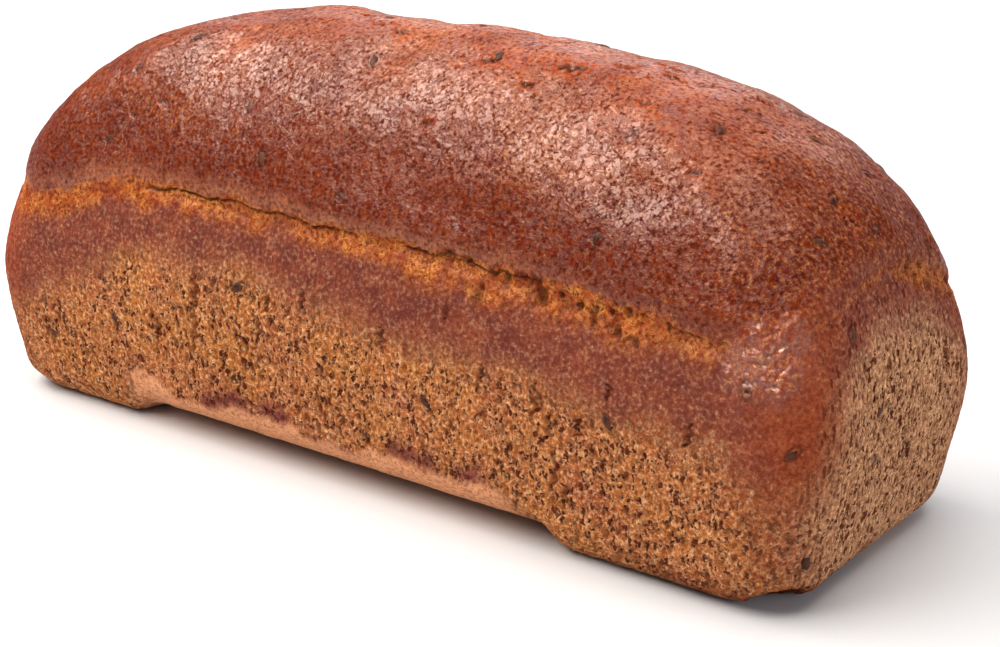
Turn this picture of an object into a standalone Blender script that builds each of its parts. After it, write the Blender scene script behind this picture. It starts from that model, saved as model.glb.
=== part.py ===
# A whole wheat tin loaf, uncut, with linseeds baked into its crust.
# Metres, +Z up. X runs along the loaf, -Y is its long front side, and the base lies on z = 0.
# One solid: a cube is cut into rows and columns, its vertices are moved onto the loaf's form,
# and the linseeds that stand out of the crust are joined to it.
import math

import bmesh
import bpy
import numpy as np
from mathutils import Matrix, Vector
from mathutils.bvhtree import BVHTree

# Main sizes of the loaf, where it is widest
LENGTH = 0.300
WIDTH = 0.106
HEIGHT = 0.128
# Wall that the tin gave: its widest level, and how far it draws in below and above that level
BULGE_LEVEL = 0.034
END_FLARE = 0.0065
SIDE_FLARE = 0.0035
END_LEAN = 0.0062
SIDE_LEAN = 0.0041
CORNER_RADIUS = 0.019
CORNER_POWER = 2.2
BASE_RADIUS = 0.008
# Shred line, the crack between the tin's wall and the risen crown: heights over the base
CRACK_CORNER = 0.0545
CRACK_SIDE_RISE = 0.018
CRACK_END_RISE = 0.0206
CRACK_END_SKEW = 0.45
CRACK_PEAK_X = 0.0076
CRACK_SPAN = 0.160
CRACK_SPAN_POWER = 2.64
CRACK_HUMP = 0.0040
CRACK_HUMP_X = -0.078
CRACK_DIP = 0.0018
CRACK_DIP_X = 0.072
CRACK_BEND_REACH = 0.030
CRACK_RAGGED = 0.0008
CRACK_DEPTH = 0.0020
CRACK_HALF_HEIGHT = 0.0019
CRACK_WEAKEST = 0.30
# The crown's rim, which hangs over the crack, and the near corner, where the crack closes up
RIM_OVERHANG = 0.0013
RIM_OVER_CRACK = 0.0048
RIM_HALF_HEIGHT = 0.0036
CLOSED_PLACE = (0.137, -0.040)
CLOSED_REACH = 0.022
CLOSED_SHARE = 0.75
# Crown: fullness of its two ends and its sides, and the powers of its arch
FULL_NEAR = 0.19
FULL_FAR = 0.19
FULL_SIDE = -0.50
ARCH_RING = 2.13
ARCH_RISE = 1.50
# Front lower edge, which curled up off the tin's floor between two steps
CURL_START = -0.080
CURL_END = 0.066
CURL_STEP = 0.011
CURL_LIFT = 0.0066
CURL_INWARD = 0.026
CURL_HEIGHT = 0.017
# Chip broken off the near bottom corner
CHIP_PLACE = (0.1375, -0.0400, 0.0015)
CHIP_REACH = 0.0095
CHIP_DEPTH = 0.0020
# Unevenness of the baked form
WALL_WAVE = 0.0007
CROWN_WAVE = 0.0011
# Linseeds
SEED_COUNT = 76
SEED_LENGTH = 0.0047
SEED_WIDTH = 0.0025
SEED_THICKNESS = 0.0014
SEED_SPACING = 0.013
SEED_CLEAR_OF_BASE = 0.012
SEED_CLEAR_OF_CRACK = 0.005
SEED_DRAW = 11
SEED_SIDES = 6
SEED_RINGS = 4

# How the cube is cut: columns along the loaf and across it, and levels up it
SIDE_STRAIGHT = 0.84
END_STRAIGHT = 0.60
SIDE_COLUMNS = 38
END_COLUMNS = 10
CORNER_COLUMNS = 3
CROWN_RIM = 0.18
BASE_ROWS = (0.014, 0.05, 0.10, 0.15)
WALL_ROWS = (0.27, 0.40, 0.53, 0.66, 0.78, 0.87, 0.93)
CRACK_ROWS = (0.965, 0.99, 1.015, 1.04, 1.075, 1.12)

HALF_LENGTH = LENGTH / 2
HALF_WIDTH = WIDTH / 2
CRUST_COLOUR = (0.235, 0.085, 0.034, 1.0)
CRUST_ROUGHNESS = 0.48


def smooth_step(value, start, end):
    part = np.clip((value - start) / (end - start), 0.0, 1.0)
    return part * part * (3.0 - 2.0 * part)


def hump(value, centre, reach):
    return np.exp(-(((value - centre) / reach) ** 2))


def rounded_plan(u, v, half_x, half_y, radius):
    """The point of a rounded rectangle that stands for (u, v) on the border of a square."""
    along, across = np.abs(u), np.abs(v)
    on_side = across >= along
    side_turn = np.clip((along - SIDE_STRAIGHT) / (1.0 - SIDE_STRAIGHT), 0.0, 1.0)
    end_turn = np.clip((across - END_STRAIGHT) / (1.0 - END_STRAIGHT), 0.0, 1.0)
    turn = np.where(on_side, side_turn, 2.0 - end_turn) * math.pi / 4.0
    arc_x = radius * np.sin(turn) ** (2.0 / CORNER_POWER)
    arc_y = radius * np.abs(np.cos(turn)) ** (2.0 / CORNER_POWER)
    straight_x = np.where(on_side, np.minimum(along / SIDE_STRAIGHT, 1.0), 1.0)
    straight_y = np.where(on_side, 1.0, np.minimum(across / END_STRAIGHT, 1.0))
    x = straight_x * (half_x - radius) + arc_x
    y = straight_y * (half_y - radius) + arc_y
    return np.sign(u) * x, np.sign(v) * y


def crack_line(x, y):
    """Smooth height of the shred line over the plan, and what its bends and ragged edge add to it."""
    across = y / HALF_WIDTH
    from_peak = np.abs((x - CRACK_PEAK_X) / CRACK_SPAN)
    smooth = CRACK_CORNER + CRACK_SIDE_RISE * (1.0 - from_peak**CRACK_SPAN_POWER)
    arch = CRACK_END_RISE * (1.0 - across**2)
    bends = CRACK_HUMP * hump(x, CRACK_HUMP_X, CRACK_BEND_REACH) - CRACK_END_SKEW * across * arch
    bends = bends - CRACK_DIP * hump(x, CRACK_DIP_X, CRACK_BEND_REACH)
    ragged = 0.5 * np.sin(310.0 * x + 1.3) + 0.3 * np.sin(733.0 * x + 410.0 * y) + 0.4 * np.sin(520.0 * y - 0.7)
    return smooth + arch, bends + CRACK_RAGGED * ragged


def crack_height(x, y):
    smooth, bends = crack_line(x, y)
    return smooth + bends


def loaf_form(u, v, level):
    """Point of the loaf for a place (u, v) on the square's border and a level:
    -1 is the base, 0 the shred line and 1 the top of the crown."""
    wall = np.clip(level + 1.0, 0.0, 1.0)
    wall_height = CRACK_CORNER * wall
    below = np.clip(1.0 - wall_height / BULGE_LEVEL, 0.0, 1.0) ** 1.5
    above = np.clip((wall_height - BULGE_LEVEL) / (CRACK_CORNER - BULGE_LEVEL), 0.0, 1.0) ** 2
    round_off = np.clip(1.0 - wall_height / BASE_RADIUS, 0.0, 1.0)
    inset = BASE_RADIUS * (1.0 - np.sqrt(np.clip(1.0 - round_off**2, 0.0, 1.0)))
    ring = np.cos(np.clip(level, 0.0, 1.0) * math.pi / 2.0)
    rise = np.clip(1.0 - ring**ARCH_RING, 0.0, 1.0) ** (1.0 / ARCH_RISE)
    full_end = np.where(u > 0, FULL_NEAR, FULL_FAR)
    half_x = HALF_LENGTH - END_FLARE * below - END_LEAN * above
    half_y = HALF_WIDTH - SIDE_FLARE * below - SIDE_LEAN * above
    half_x = half_x * (ring + full_end * ring * (1.0 - ring)) - inset
    half_y = half_y * (ring + FULL_SIDE * ring * (1.0 - ring)) - inset
    widest = 0.98 * half_y
    radius = CORNER_RADIUS * ring
    radius = np.minimum(radius + (widest - radius) * (1.0 - ring) ** 0.75, widest)
    x, y = rounded_plan(u, v, half_x, half_y, radius)
    smooth, bends = crack_line(x, y)
    crown_height = smooth + rise * (HEIGHT - smooth) + bends * (1.0 - rise) ** 3
    z = np.where(level <= 0.0, (smooth + bends) * wall, crown_height)
    return np.stack([x, y, z], axis=-1)


def level_of(w):
    """Level of the cube's height w, from -1 at its base to the crown's rim at its top."""
    return (w + 1.0) / 2.0 * (1.0 + CROWN_RIM) - 1.0


def form_of_cube(cube_points):
    """Moves points of the cube's surface onto the loaf's form."""
    u, v, w = cube_points.T
    on_cap = np.abs(w) > 1.0 - 1e-5
    ring = np.where(on_cap, np.maximum(np.abs(u), np.abs(v)), 1.0)
    spread = np.maximum(ring, 1e-6)
    level = level_of(w)
    level = np.where(on_cap & (w > 0), 1.0 - (1.0 - CROWN_RIM) * ring, level)
    points = loaf_form(u / spread, v / spread, level)
    on_base = on_cap & (w < 0)
    points[on_base, :2] *= ring[on_base, None]
    points[on_base, 2] = 0.0
    return points


def wave(points, lengths, turns):
    """Sum of sines over space, between about -1 and 1, for slow unevenness."""
    total = 0.0
    for length, turn in zip(lengths, turns):
        axis = np.array([math.cos(turn), math.sin(turn), math.sin(2.3 * turn)])
        total = total + np.sin(points @ axis * (2.0 * math.pi / length) + 5.0 * turn)
    return total / len(lengths)


def relief(points):
    """Height of the crust's larger relief over the form: crack, overhanging rim, chip and waves."""
    x, y, z = points.T
    over_crack = z - crack_height(x, y)
    outside = smooth_step(z, 0.010, 0.030)
    uneven = 0.5 + 0.5 * np.sin(71.0 * x + 0.8) * np.sin(43.0 * x - 1.1)
    strength = CRACK_WEAKEST + (1.0 - CRACK_WEAKEST) * uneven
    from_closed = np.hypot(x - CLOSED_PLACE[0], y - CLOSED_PLACE[1])
    strength = strength * (1.0 - CLOSED_SHARE * hump(from_closed, 0.0, CLOSED_REACH))
    groove = hump(over_crack, -0.3 * CRACK_HALF_HEIGHT, CRACK_HALF_HEIGHT)
    rim = hump(over_crack, RIM_OVER_CRACK, RIM_HALF_HEIGHT)
    height = strength * (RIM_OVERHANG * rim - CRACK_DEPTH * groove)
    crown = smooth_step(over_crack, 0.0, 0.025)
    height = height + CROWN_WAVE * crown * wave(points, (0.062, 0.043, 0.029, 0.036), (0.4, 1.9, 3.1, 5.2))
    height = height + WALL_WAVE * (1.0 - crown) * outside * wave(points, (0.071, 0.047, 0.033), (0.9, 2.6, 4.4))
    from_chip = np.linalg.norm(points - np.array(CHIP_PLACE), axis=1)
    return height - CHIP_DEPTH * (1.0 - smooth_step(from_chip, 0.3 * CHIP_REACH, CHIP_REACH))


def curl(points):
    """Lifts the front lower edge where the crust curled up off the tin's floor."""
    x, y, z = points.T
    along = smooth_step(x, CURL_START - CURL_STEP, CURL_START)
    along = along * smooth_step(-x, -CURL_END - CURL_STEP, -CURL_END)
    inward = smooth_step(-y, CURL_INWARD, 0.98 * HALF_WIDTH)
    height = 1.0 - smooth_step(z, 0.0, CURL_HEIGHT)
    points[:, 2] += CURL_LIFT * along * inward * height
    return points


def make_loaf():
    mesh = bpy.data.meshes.new("loaf")
    bm = bmesh.new()
    bmesh.ops.create_cube(bm, size=2.0)
    cuts = [(0, side) for side in columns(SIDE_STRAIGHT, SIDE_COLUMNS)]
    cuts += [(1, side) for side in columns(END_STRAIGHT, END_COLUMNS)]
    rows = [row - 1.0 for row in BASE_ROWS + WALL_ROWS + CRACK_ROWS]
    cuts += [(2, 2.0 * (row + 1.0) / (1.0 + CROWN_RIM) - 1.0) for row in rows]
    for axis, place in cuts:
        normal = [0.0, 0.0, 0.0]
        normal[axis] = 1.0
        point = [place if i == axis else 0.0 for i in range(3)]
        everything = bm.verts[:] + bm.edges[:] + bm.faces[:]
        bmesh.ops.bisect_plane(bm, geom=everything, dist=1e-6, plane_co=point, plane_no=normal)
    points = form_of_cube(np.array([vertex.co for vertex in bm.verts]))
    write_points(bm, points)
    bm.normal_update()
    normals = np.array([vertex.normal for vertex in bm.verts])
    points = curl(points + normals * relief(points)[:, None])
    write_points(bm, np.maximum(points, (-1.0, -1.0, 0.0)))
    bm.normal_update()
    bm.to_mesh(mesh)
    tree = BVHTree.FromBMesh(bm)
    bm.free()
    loaf = bpy.data.objects.new("loaf", mesh)
    return loaf, tree


def columns(straight, count):
    """Cuts across a face of the cube: even over its straight stretch, and closer round its corners."""
    middle = np.linspace(-straight, straight, count + 1)
    corner = np.linspace(straight, 1.0, CORNER_COLUMNS + 1)[1:-1]
    return np.concatenate([-corner[::-1], middle, corner])


def write_points(bm, points):
    for vertex, point in zip(bm.verts, points):
        vertex.co = point


def seed_places():
    """Places of the linseeds, drawn evenly over the walls and the crown and kept apart."""
    draw = np.random.default_rng(SEED_DRAW)
    places = []
    while len(places) < SEED_COUNT:
        on_crown = draw.random() < 0.56
        if on_crown:
            u, v = draw.uniform(-1.0, 1.0, 2)
            cube_point = (u, v, 1.0)
        else:
            around = draw.uniform(-1.0, 1.0)
            side = draw.choice([-1.0, 1.0])
            height = draw.uniform(-0.75, 1.0)
            on_side = draw.random() < 0.74
            cube_point = (around, side, height) if on_side else (side, around, height)
        place = form_of_cube(np.array([cube_point]))[0]
        over_crack = place[2] - crack_height(place[0], place[1])
        turn = draw.uniform(0.0, math.pi)
        size = draw.uniform(0.85, 1.12)
        if place[2] < SEED_CLEAR_OF_BASE or abs(over_crack) < SEED_CLEAR_OF_CRACK:
            continue
        if all(np.linalg.norm(place - other) > SEED_SPACING for other, _, _ in places):
            places.append((place, turn, size))
    return places


def seed_frame(tree, place, turn):
    """Where a seed lies on the crust, and the axes that its length, width and thickness take."""
    spot, normal, _, _ = tree.find_nearest(Vector(place))
    across = normal.cross(Vector((0.31, 0.17, 0.93))).normalized()
    lying = Matrix((across, normal.cross(across), normal)).transposed()
    return spot, lying @ Matrix.Rotation(turn, 3, "Z")


def make_seeds(tree, collection):
    for number, (place, turn, size) in enumerate(seed_places()):
        bm = bmesh.new()
        bmesh.ops.create_uvsphere(bm, u_segments=SEED_SIDES, v_segments=SEED_RINGS, radius=0.5)
        for vertex in bm.verts:
            vertex.co.x *= 1.0 - 0.30 * vertex.co.y
        sizes = Matrix.Diagonal((SEED_WIDTH, SEED_LENGTH, SEED_THICKNESS)) * size
        bmesh.ops.transform(bm, matrix=sizes.to_4x4(), verts=bm.verts)
        spot, lying = seed_frame(tree, place, turn)
        bmesh.ops.transform(bm, matrix=Matrix.Translation(spot) @ lying.to_4x4(), verts=bm.verts)
        mesh = bpy.data.meshes.new(f"linseed_{number}")
        bm.to_mesh(mesh)
        bm.free()
        seed = bpy.data.objects.new(f"linseed_{number}", mesh)
        seed.hide_render = True
        seed.display_type = "WIRE"
        collection.objects.link(seed)


def join_seeds(loaf, collection):
    """Joins the seeds to the loaf in one union, applies it and removes the separate seeds."""
    union = loaf.modifiers.new("linseeds", "BOOLEAN")
    union.operation = "UNION"
    union.operand_type = "COLLECTION"
    union.collection = collection
    union.solver = "EXACT"
    bpy.context.view_layer.update()
    graph = bpy.context.evaluated_depsgraph_get()
    joined = bpy.data.meshes.new_from_object(loaf.evaluated_get(graph))
    loaf.modifiers.clear()
    loaf.data = joined
    for seed in list(collection.objects):
        bpy.data.objects.remove(seed, do_unlink=True)
    bpy.data.collections.remove(collection)


def crust_material():
    material = bpy.data.materials.new("baked_crust")
    material.use_nodes = True
    shader = material.node_tree.nodes["Principled BSDF"]
    shader.inputs["Base Color"].default_value = CRUST_COLOUR
    shader.inputs["Roughness"].default_value = CRUST_ROUGHNESS
    shader.inputs["Metallic"].default_value = 0.0
    return material


def main():
    for old in list(bpy.data.objects):
        bpy.data.objects.remove(old, do_unlink=True)
    bread = bpy.data.collections.new("whole_wheat_bread")
    seeds = bpy.data.collections.new("linseeds")
    bpy.context.scene.collection.children.link(bread)
    bpy.context.scene.collection.children.link(seeds)
    loaf, tree = make_loaf()
    bread.objects.link(loaf)
    make_seeds(tree, seeds)
    join_seeds(loaf, seeds)
    loaf.data.materials.clear()
    loaf.data.materials.append(crust_material())
    loaf.data.shade_smooth()
    loaf.data.set_sharp_from_angle(angle=math.radians(45.0))
    print("loaf:", len(loaf.data.polygons), "faces, size", tuple(round(side, 4) for side in loaf.dimensions))


main()
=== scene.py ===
# %% [markdown]
# # A whole wheat tin loaf
#
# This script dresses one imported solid, the loaf, as a real bread. The solid already has the loaf's
# form: upright walls that the tin shaped, a crack where the dough rose out of it, and a domed crown.
# What is still missing is everything that makes a crust look baked: pores, torn strands, wrinkles,
# browning and seeds. The visible shapes are made as mesh, so that they hold from any side, and the
# finest grain is left to the material.

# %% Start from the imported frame
import math

import bmesh
import bpy
import numpy as np
from mathutils import Matrix, Vector


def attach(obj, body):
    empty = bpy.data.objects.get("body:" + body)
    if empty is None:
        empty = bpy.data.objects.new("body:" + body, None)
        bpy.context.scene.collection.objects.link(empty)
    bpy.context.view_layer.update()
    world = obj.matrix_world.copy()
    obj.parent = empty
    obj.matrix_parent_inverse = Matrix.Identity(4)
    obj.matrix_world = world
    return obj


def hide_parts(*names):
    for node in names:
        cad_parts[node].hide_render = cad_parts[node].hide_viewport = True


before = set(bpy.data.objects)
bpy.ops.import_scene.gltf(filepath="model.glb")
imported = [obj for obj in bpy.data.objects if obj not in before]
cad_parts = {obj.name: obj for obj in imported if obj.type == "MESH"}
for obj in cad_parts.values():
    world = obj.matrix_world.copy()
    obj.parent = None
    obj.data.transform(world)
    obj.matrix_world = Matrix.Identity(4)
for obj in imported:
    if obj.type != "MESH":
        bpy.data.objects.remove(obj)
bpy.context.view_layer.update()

MM = 0.001

# %% [markdown]
# ## The loaf's named sizes
#
# A tin loaf is wider at mid-wall than at its base, because a tin flares, and it draws in again just
# under the crack. The crown is an arch over a rounded rectangle. The same named sizes drive the solid,
# so the dressed loaf lies on it.

# %% Sizes of the form, in metres
LENGTH, WIDTH, HEIGHT = 0.300, 0.106, 0.128
HALF_LENGTH, HALF_WIDTH = LENGTH / 2, WIDTH / 2
BULGE_LEVEL = 0.034
END_FLARE, SIDE_FLARE = 0.0065, 0.0035
END_LEAN, SIDE_LEAN = 0.0062, 0.0041
CORNER_RADIUS, CORNER_POWER = 0.019, 2.2
BASE_RADIUS = 0.008
CRACK_CORNER, CRACK_SIDE_RISE, CRACK_END_RISE = 0.0545, 0.018, 0.0206
CRACK_END_SKEW = 0.45
CRACK_PEAK_X, CRACK_SPAN, CRACK_SPAN_POWER = 0.0076, 0.160, 2.64
CRACK_HUMP, CRACK_HUMP_X = 0.0040, -0.078
CRACK_DIP, CRACK_DIP_X = 0.0018, 0.072
CRACK_BEND_REACH = 0.030
CRACK_RAGGED = 0.0008
CRACK_DEPTH, CRACK_HALF_HEIGHT, CRACK_WEAKEST = 0.0020, 0.0019, 0.30
RIM_OVERHANG, RIM_OVER_CRACK, RIM_HALF_HEIGHT = 0.0013, 0.0048, 0.0036
CLOSED_PLACE, CLOSED_REACH, CLOSED_SHARE = (0.137, -0.040), 0.022, 0.75
FULL_END, FULL_SIDE = 0.19, -0.50
ARCH_RING, ARCH_RISE = 2.13, 1.50
CURL_START, CURL_END, CURL_STEP = -0.080, 0.066, 0.011
CURL_LIFT, CURL_INWARD, CURL_HEIGHT = 0.0066, 0.026, 0.017
CHIP_PLACE, CHIP_REACH, CHIP_DEPTH = (0.1375, -0.0400, 0.0015), 0.0095, 0.0020
WALL_WAVE, CROWN_WAVE = 0.0007, 0.0011
SIDE_STRAIGHT, END_STRAIGHT, CROWN_RIM = 0.84, 0.60, 0.18
# How far the front's crack gapes, from 0 to 1, at places along the loaf, and how it closes at the near end
GAPE_PLACES = (-0.090, -0.076, -0.066, -0.020, 0.020, 0.034, 0.046, 0.062, 0.070, 0.106, 0.112, 0.122, 0.127)
GAPES = (0.05, 0.10, 0.65, 0.70, 0.75, 1.00, 1.00, 0.95, 0.30, 0.30, 0.80, 0.60, 0.00)
BACK_GAPE = 0.5
NEAR_FADE, NEAR_REACH = 0.85, (0.112, 0.138)


# %% [markdown]
# ## From a square to a loaf
#
# A cube is the easiest thing to cut into even rows and columns. Each point of it is named by its place
# (u, v) on the square and by a level: -1 at the base, 0 at the crack, 1 at the top of the crown. The
# functions below turn that name into a place on the loaf, so the grid can be as fine as the relief needs.

# %% Two curves that everything here is shaped with
def smooth_step(value, start, end):
    part = np.clip((value - start) / (end - start), 0.0, 1.0)
    return part * part * (3.0 - 2.0 * part)


def hump(value, centre, reach):
    return np.exp(-(((value - centre) / reach) ** 2))


# %% The plan, and the crack's height over it
def rounded_plan(u, v, half_x, half_y, radius):
    """The point of a rounded rectangle that stands for (u, v) on the border of a square."""
    along, across = np.abs(u), np.abs(v)
    on_side = across >= along
    side_turn = np.clip((along - SIDE_STRAIGHT) / (1.0 - SIDE_STRAIGHT), 0.0, 1.0)
    end_turn = np.clip((across - END_STRAIGHT) / (1.0 - END_STRAIGHT), 0.0, 1.0)
    turn = np.where(on_side, side_turn, 2.0 - end_turn) * math.pi / 4.0
    arc_x = radius * np.sin(turn) ** (2.0 / CORNER_POWER)
    arc_y = radius * np.abs(np.cos(turn)) ** (2.0 / CORNER_POWER)
    straight_x = np.where(on_side, np.minimum(along / SIDE_STRAIGHT, 1.0), 1.0)
    straight_y = np.where(on_side, 1.0, np.minimum(across / END_STRAIGHT, 1.0))
    x = straight_x * (half_x - radius) + arc_x
    y = straight_y * (half_y - radius) + arc_y
    return np.sign(u) * x, np.sign(v) * y


def crack_line(x, y):
    """Smooth height of the shred line over the plan, and what its bends and ragged edge add to it."""
    across = y / HALF_WIDTH
    from_peak = np.abs((x - CRACK_PEAK_X) / CRACK_SPAN)
    smooth = CRACK_CORNER + CRACK_SIDE_RISE * (1.0 - from_peak**CRACK_SPAN_POWER)
    arch = CRACK_END_RISE * (1.0 - across**2)
    bends = CRACK_HUMP * hump(x, CRACK_HUMP_X, CRACK_BEND_REACH) - CRACK_END_SKEW * across * arch
    bends = bends - CRACK_DIP * hump(x, CRACK_DIP_X, CRACK_BEND_REACH)
    ragged = 0.5 * np.sin(310.0 * x + 1.3) + 0.3 * np.sin(733.0 * x + 410.0 * y)
    ragged = ragged + 0.4 * np.sin(520.0 * y - 0.7)
    return smooth + arch, bends + CRACK_RAGGED * ragged


def crack_height(x, y):
    smooth, bends = crack_line(x, y)
    return smooth + bends


# %% The form: base, walls and crown
def loaf_form(u, v, level):
    """Points of the loaf for places (u, v) on the square's border and levels."""
    wall = np.clip(level + 1.0, 0.0, 1.0)
    wall_height = CRACK_CORNER * wall
    below = np.clip(1.0 - wall_height / BULGE_LEVEL, 0.0, 1.0) ** 1.5
    above = np.clip((wall_height - BULGE_LEVEL) / (CRACK_CORNER - BULGE_LEVEL), 0.0, 1.0) ** 2
    round_off = np.clip(1.0 - wall_height / BASE_RADIUS, 0.0, 1.0)
    inset = BASE_RADIUS * (1.0 - np.sqrt(np.clip(1.0 - round_off**2, 0.0, 1.0)))
    ring = np.cos(np.clip(level, 0.0, 1.0) * math.pi / 2.0)
    rise = np.clip(1.0 - ring**ARCH_RING, 0.0, 1.0) ** (1.0 / ARCH_RISE)
    half_x = HALF_LENGTH - END_FLARE * below - END_LEAN * above
    half_y = HALF_WIDTH - SIDE_FLARE * below - SIDE_LEAN * above
    half_x = half_x * (ring + FULL_END * ring * (1.0 - ring)) - inset
    half_y = half_y * (ring + FULL_SIDE * ring * (1.0 - ring)) - inset
    widest = 0.98 * half_y
    radius = CORNER_RADIUS * ring
    radius = np.minimum(radius + (widest - radius) * (1.0 - ring) ** 0.75, widest)
    x, y = rounded_plan(u, v, half_x, half_y, radius)
    smooth, bends = crack_line(x, y)
    crown_height = smooth + rise * (HEIGHT - smooth) + bends * (1.0 - rise) ** 3
    z = np.where(level <= 0.0, (smooth + bends) * wall, crown_height)
    return np.stack([x, y, z], axis=-1)


# %% Slow waves, and how far the crack gapes
def wave(points, lengths, turns):
    """Sum of sines over space, between about -1 and 1, for slow unevenness."""
    total = 0.0
    for length, turn in zip(lengths, turns):
        axis = np.array([math.cos(turn), math.sin(turn), math.sin(2.3 * turn)])
        total = total + np.sin(points @ axis * (2.0 * math.pi / length) + 5.0 * turn)
    return total / len(lengths)


def crack_gape(x, y):
    """How far the crack gapes, from 0 to 1."""
    at_back = smooth_step(y, -0.03, 0.03)
    gape = np.interp(x, GAPE_PLACES, GAPES) * (1.0 - at_back) + BACK_GAPE * at_back
    return gape * (1.0 - NEAR_FADE * smooth_step(x, *NEAR_REACH))


def crack_strength(x, y):
    """How deep the groove and the rim over it are: unevenly along the loaf, and hardly at the near corner."""
    uneven = 0.5 + 0.5 * np.sin(71.0 * x + 0.8) * np.sin(43.0 * x - 1.1)
    strength = CRACK_WEAKEST + (1.0 - CRACK_WEAKEST) * uneven
    from_closed = np.hypot(x - CLOSED_PLACE[0], y - CLOSED_PLACE[1])
    strength = strength * (1.0 - CLOSED_SHARE * hump(from_closed, 0.0, CLOSED_REACH))
    at_back = smooth_step(y, -0.03, 0.03)
    near = 1.0 - NEAR_FADE * smooth_step(x, *NEAR_REACH)
    return (0.15 + 0.55 * crack_gape(x, y)) * (1.0 - at_back) + strength * at_back * near


# %% The form's larger relief, which the solid has too
def large_relief(points):
    x, y, z = points.T
    over_crack = z - crack_height(x, y)
    outside = smooth_step(z, 0.010, 0.030)
    groove = hump(over_crack, -0.3 * CRACK_HALF_HEIGHT, CRACK_HALF_HEIGHT)
    rim = hump(over_crack, RIM_OVER_CRACK, RIM_HALF_HEIGHT)
    height = crack_strength(x, y) * (RIM_OVERHANG * rim - CRACK_DEPTH * groove)
    crown = smooth_step(over_crack, 0.0, 0.025)
    height = height + CROWN_WAVE * crown * wave(points, (0.062, 0.043, 0.029, 0.036), (0.4, 1.9, 3.1, 5.2))
    walls = (1.0 - crown) * outside
    height = height + WALL_WAVE * walls * wave(points, (0.071, 0.047, 0.033), (0.9, 2.6, 4.4))
    from_chip = np.linalg.norm(points - np.array(CHIP_PLACE), axis=1)
    return height - CHIP_DEPTH * (1.0 - smooth_step(from_chip, 0.3 * CHIP_REACH, CHIP_REACH))


def curl_amount(points):
    """How much of the front lower edge's curl a point takes, from 0 to 1."""
    x, y, z = points.T
    along = smooth_step(x, CURL_START - CURL_STEP, CURL_START)
    along = along * smooth_step(-x, -CURL_END - CURL_STEP, -CURL_END)
    inward = smooth_step(-y, CURL_INWARD, 0.98 * HALF_WIDTH)
    return along * inward * (1.0 - smooth_step(z, 0.0, CURL_HEIGHT))


# %% [markdown]
# ## A grid that is fine where the crust is fine
#
# The walls are full of pores a millimetre wide, so the grid is about half a millimetre there, and
# closer round the crack. One band of rows runs from the middle of the base outwards and up the walls,
# and a cap lies on top. They share their border, so the skin has no gaps. It's cut into pieces only
# at the end.

# %% Rows and columns
SIDE_CELLS, END_CELLS = 500, 150
SIDE_CORNER_CELLS, END_CORNER_CELLS = 30, 34
BASE_ROWS = 13
WALL_ROW, CRACK_ROW, CRACK_BAND = 0.52 * MM, 0.36 * MM, 6.2 * MM
CROWN_RISE = 0.051
WALL_RISE = 0.077


def stations(straight, cells, corner_cells):
    """Places across the square from -1 to 1: even along the straight side, and closer at the corners."""
    middle = np.linspace(-straight, straight, cells + 1)
    corner = np.linspace(straight, 1.0, corner_cells + 1)[1:]
    return np.concatenate([-corner[::-1], middle, corner])


def band_levels():
    """Levels of the side band's rows, spaced evenly by height and closer near the crack."""
    fine = np.linspace(-1.0, CROWN_RIM, 4001)
    ring = np.cos(np.clip(fine, 0.0, 1.0) * math.pi / 2.0)
    rise = CROWN_RISE * (1.0 - ring**ARCH_RING) ** (1.0 / ARCH_RISE)
    height = np.where(fine < 0.0, WALL_RISE * fine, rise)
    step = np.where(np.abs(height) < CRACK_BAND, CRACK_ROW, WALL_ROW)
    count = np.concatenate([[0.0], np.cumsum(np.diff(height) / step[1:])])
    rows = int(round(count[-1]))
    return np.interp(np.linspace(0.0, count[-1], rows + 1), count, fine)


across_x = stations(SIDE_STRAIGHT, SIDE_CELLS, SIDE_CORNER_CELLS)
across_y = stations(END_STRAIGHT, END_CELLS, END_CORNER_CELLS)
levels = band_levels()
levels = np.concatenate([np.full(BASE_ROWS, -1.0), levels])
base_spread = np.concatenate([np.linspace(0.0, 1.0, BASE_ROWS + 1)[:-1], np.ones(len(levels) - BASE_ROWS)])
n_x, n_y, n_rows = len(across_x) - 1, len(across_y) - 1, len(levels) - 1
print("grid:", n_x, "by", n_y, "columns,", n_rows, "rows")


# %% The band's loop and the cap, as numbered points
def border_loop():
    """(u, v) once round the square, starting at the back far corner, counter-clockwise from above."""
    far = np.stack([np.full(n_y, -1.0), across_y[:0:-1]], axis=1)
    front = np.stack([across_x[:-1], np.full(n_x, -1.0)], axis=1)
    near = np.stack([np.full(n_y, 1.0), across_y[:-1]], axis=1)
    back = np.stack([across_x[:0:-1], np.full(n_x, 1.0)], axis=1)
    return np.concatenate([far, front, near, back])


loop = border_loop()
n_loop = len(loop)
band_u = np.broadcast_to(loop[:, 0], (n_rows + 1, n_loop))
band_v = np.broadcast_to(loop[:, 1], (n_rows + 1, n_loop))
band_level = np.broadcast_to(levels[:, None], band_u.shape)
cap_u, cap_v = np.meshgrid(across_x[1:-1], across_y[1:-1], indexing="ij")
cap_ring = np.maximum(np.abs(cap_u), np.abs(cap_v))
cap_spread = np.maximum(cap_ring, 1e-6)
cap_level = 1.0 - (1.0 - CROWN_RIM) * cap_ring
band_points = loaf_form(band_u, band_v, band_level)
band_points[..., 1] *= base_spread[:, None]
band_points = band_points.reshape(-1, 3)
cap_points = loaf_form(cap_u / cap_spread, cap_v / cap_spread, cap_level).reshape(-1, 3)
form_points = np.concatenate([band_points, cap_points])
n_band = len(band_points)
print("points:", len(form_points))


# %% The faces between them
def band_quads():
    row = np.arange(n_rows)[:, None] * n_loop
    here = np.arange(n_loop)[None, :]
    after = (here + 1) % n_loop
    quads = np.stack([row + here, row + after, row + n_loop + after, row + n_loop + here], axis=-1)
    return quads


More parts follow.
